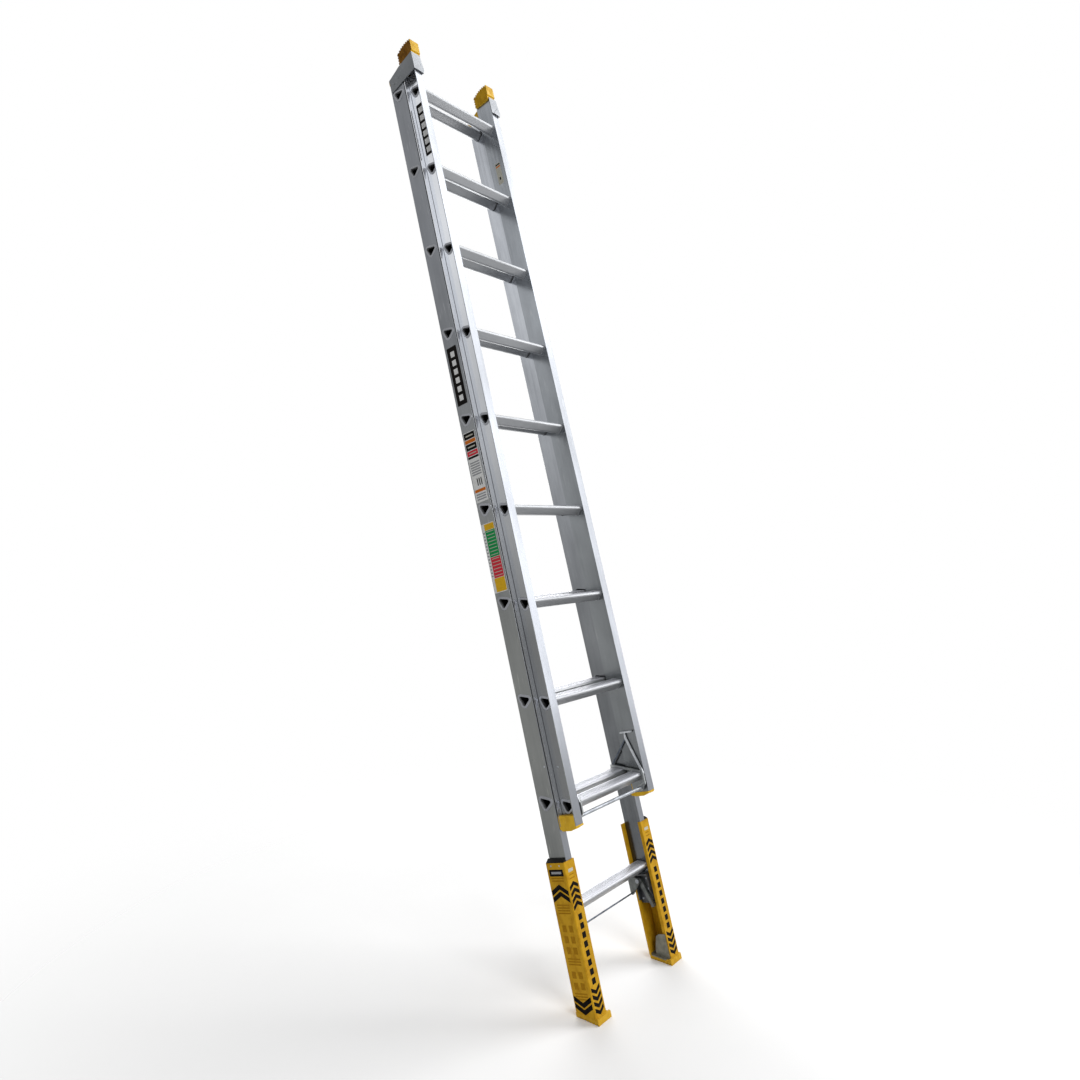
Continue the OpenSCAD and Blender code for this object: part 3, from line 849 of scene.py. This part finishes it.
def blocks_on(name, place, rects, ink, body):
    """Plain printed blocks on a face, each (x, y, width, height) in mm with y at its foot."""
    bm = bmesh.new()
    for x, y, w, h in rects:
        box = rounded((x - w / 2) * MM, y * MM, (x + w / 2) * MM, (y + h) * MM, 0.8 * MM, steps=2)
        prism(bm, box, PRINT, place)
    piece(name, mesh_of(bm, name), [ink], body)


# the legs' print in mm, with heights above the ground
front_blocks = [(0, 102.5 + k * 25, 17, 16.5) for k in range(8)]
side_blocks = []
for foot, lines in ((390, 2), (300, 4), (160, 3), (66, 3)):
    side_blocks += [(0, foot + k * 7.5, 46, 4.2) for k in range(lines)]
for foot, count in ((190, 3), (94, 2)):
    side_blocks += [(x, foot + k * 30, 15, 19) for k in range(count) for x in (-12, 12)]
side_marks = [(350.3, True), (331.3, True), (45.3, False), (26.3, False)]
front_marks = [(361.3 - k * 18, True) for k in range(4)] + [(75.3 - k * 18, False) for k in range(4)]

for tag, side, outer, front in (("left", -1, leg_low.x, leg_low.y), ("right", 1, right_high.x, right_low.y)):
    leg = "leg_" + tag
    side_face = plane((outer, leg_mid_y, 0), (0, side, 0), (0, 0, 1))
    front_face = on_front(side * LEG_PRINT, front, 0)
    chevrons("side_chevrons_" + tag, side_face, side_marks, (62, 18, 14), leg)
    chevrons("front_chevrons_" + tag, front_face, front_marks, (40, 12, 11), leg)
    blocks_on("front_blocks_" + tag, front_face, front_blocks, ink_black, leg)
    blocks_on("front_lines_" + tag, front_face, [(0, 402, 22, 3), (0, 392, 24, 3)], ink_ochre, leg)
    blocks_on("front_badge_" + tag, front_face, [(0, 411, 22, 9)], ink_pale, leg)
    blocks_on("side_blocks_" + tag, side_face, side_blocks, ink_ochre, leg)
    label(
        "leg_label_" + tag,
        side_face @ Matrix.Translation((0, 405 * MM, 0)),
        width=52 * MM,
        height=19 * MM,
        blocks=[(0.14, 0.34, 0.86, 0.68, GREY)],
        body=leg,
        ground=BLACK,
    )


# ---------------------------------------------------------------- stage, light and camera


def stage_floor():
    """A pale disc under the pads, square to gravity when the ladder leans, fading out into the backdrop."""
    foot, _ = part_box("foot_pad_left")
    radius, fade_start, fade_end = 6, 0.6, 2.6
    bm = bmesh.new()
    bmesh.ops.create_circle(bm, cap_ends=True, segments=96, radius=radius)
    mesh = mesh_of(bm, "floor")
    for polygon in mesh.polygons:
        if polygon.normal.z < 0:
            polygon.flip()
    floor = bpy.data.objects.new("floor", mesh)
    bpy.context.scene.collection.objects.link(floor)
    floor.location = (0, foot.y, -0.5 * MM)
    floor.rotation_euler = (LEAN, 0, 0)
    mat = bpy.data.materials.new("floor_paint")
    mat.use_nodes = True
    tree = mat.node_tree
    bsdf = tree.nodes["Principled BSDF"]
    bsdf.inputs["Roughness"].default_value = 0.9
    bsdf.inputs["Specular IOR Level"].default_value = 0.1
    coord = tree.nodes.new("ShaderNodeTexCoord")
    grain = tree.nodes.new("ShaderNodeTexNoise")
    grain.inputs["Scale"].default_value = 3
    tone = tree.nodes.new("ShaderNodeValToRGB")
    tone.color_ramp.elements[0].color = (0.92, 0.92, 0.92, 1)
    tone.color_ramp.elements[1].color = (0.95, 0.95, 0.95, 1)
    tree.links.new(coord.outputs["Object"], grain.inputs["Vector"])
    tree.links.new(grain.outputs["Fac"], tone.inputs["Fac"])
    tree.links.new(tone.outputs["Color"], bsdf.inputs["Base Color"])
    length = tree.nodes.new("ShaderNodeVectorMath")
    length.operation = "LENGTH"
    tree.links.new(coord.outputs["Object"], length.inputs[0])
    fade = tree.nodes.new("ShaderNodeMapRange")
    fade.interpolation_type = "SMOOTHSTEP"
    fade.inputs["From Min"].default_value = fade_start
    fade.inputs["From Max"].default_value = fade_end
    tree.links.new(length.outputs["Value"], fade.inputs["Value"])
    clear = tree.nodes.new("ShaderNodeBsdfTransparent")
    mix = tree.nodes.new("ShaderNodeMixShader")
    tree.links.new(fade.outputs["Result"], mix.inputs[0])
    tree.links.new(bsdf.outputs[0], mix.inputs[1])
    tree.links.new(clear.outputs[0], mix.inputs[2])
    tree.links.new(mix.outputs[0], tree.nodes["Material Output"].inputs["Surface"])
    mesh.materials.append(mat)


def world():
    """White backdrop for the eye and for reflections, and a soft even light for the rest."""
    light = 0.34
    made = bpy.data.worlds.new("studio")
    bpy.context.scene.world = made
    made.use_nodes = True
    tree = made.node_tree
    back = tree.nodes["Background"]
    back.inputs["Color"].default_value = (1, 1, 1, 1)
    back.inputs["Strength"].default_value = light
    white = tree.nodes.new("ShaderNodeBackground")
    white.inputs["Color"].default_value = (1, 1, 1, 1)
    white.inputs["Strength"].default_value = 1
    path = tree.nodes.new("ShaderNodeLightPath")
    seen = path.outputs["Is Camera Ray"]
    for other in ("Is Glossy Ray", "Is Transmission Ray"):
        add = tree.nodes.new("ShaderNodeMath")
        add.operation = "MAXIMUM"
        tree.links.new(seen, add.inputs[0])
        tree.links.new(path.outputs[other], add.inputs[1])
        seen = add.outputs[0]
    mix = tree.nodes.new("ShaderNodeMixShader")
    tree.links.new(seen, mix.inputs[0])
    tree.links.new(back.outputs[0], mix.inputs[1])
    tree.links.new(white.outputs[0], mix.inputs[2])
    tree.links.new(mix.outputs[0], tree.nodes["World Output"].inputs["Surface"])


def lamp(name, place, aim, size, power):
    """A soft rectangular lamp that points from place to aim."""
    data = bpy.data.lights.new(name, "AREA")
    data.shape = "RECTANGLE"
    data.size, data.size_y = size
    data.energy = power
    obj = bpy.data.objects.new(name, data)
    bpy.context.scene.collection.objects.link(obj)
    obj.location = place
    obj.rotation_euler = (Vector(aim) - Vector(place)).to_track_quat("-Z", "Y").to_euler()


def camera():
    """The camera, in front, to the left and a little below the ladder's middle, level with the floor."""
    data = bpy.data.cameras.new("camera")
    data.sensor_width = 36
    data.lens = 27.649
    data.shift_x = 0.0047
    data.shift_y = -0.0301
    right = Vector((0.628417, -0.748793, -0.210716))
    down = Vector((0.013112, 0.281044, -0.959605))
    ahead = Vector((0.777766, 0.60027, 0.186431))
    place = Matrix((right, -down, -ahead)).transposed().to_4x4()
    place.translation = Vector((-2.178178, -1.684442, 1.002201))
    obj = bpy.data.objects.new("camera", data)
    bpy.context.scene.collection.objects.link(obj)
    obj.matrix_world = place
    bpy.context.scene.camera = obj


stage_floor()
world()
lamp("key", place=(3.4, -2.8, 3.5), aim=(0, 0, 2.1), size=(2.4, 6.8), power=182)
lamp("front", place=(-1.2, -4.2, 2.4), aim=(0, 0, 1.4), size=(2.2, 2.2), power=75)
lamp("top", place=(1.6, 1.4, 5.4), aim=(0, 0, 1.5), size=(3, 3), power=70)
lamp("back", place=(2.6, 2.4, 2.6), aim=(0, 0, 0.8), size=(2.6, 2), power=55)
camera()
bpy.context.scene.view_settings.view_transform = "Standard"
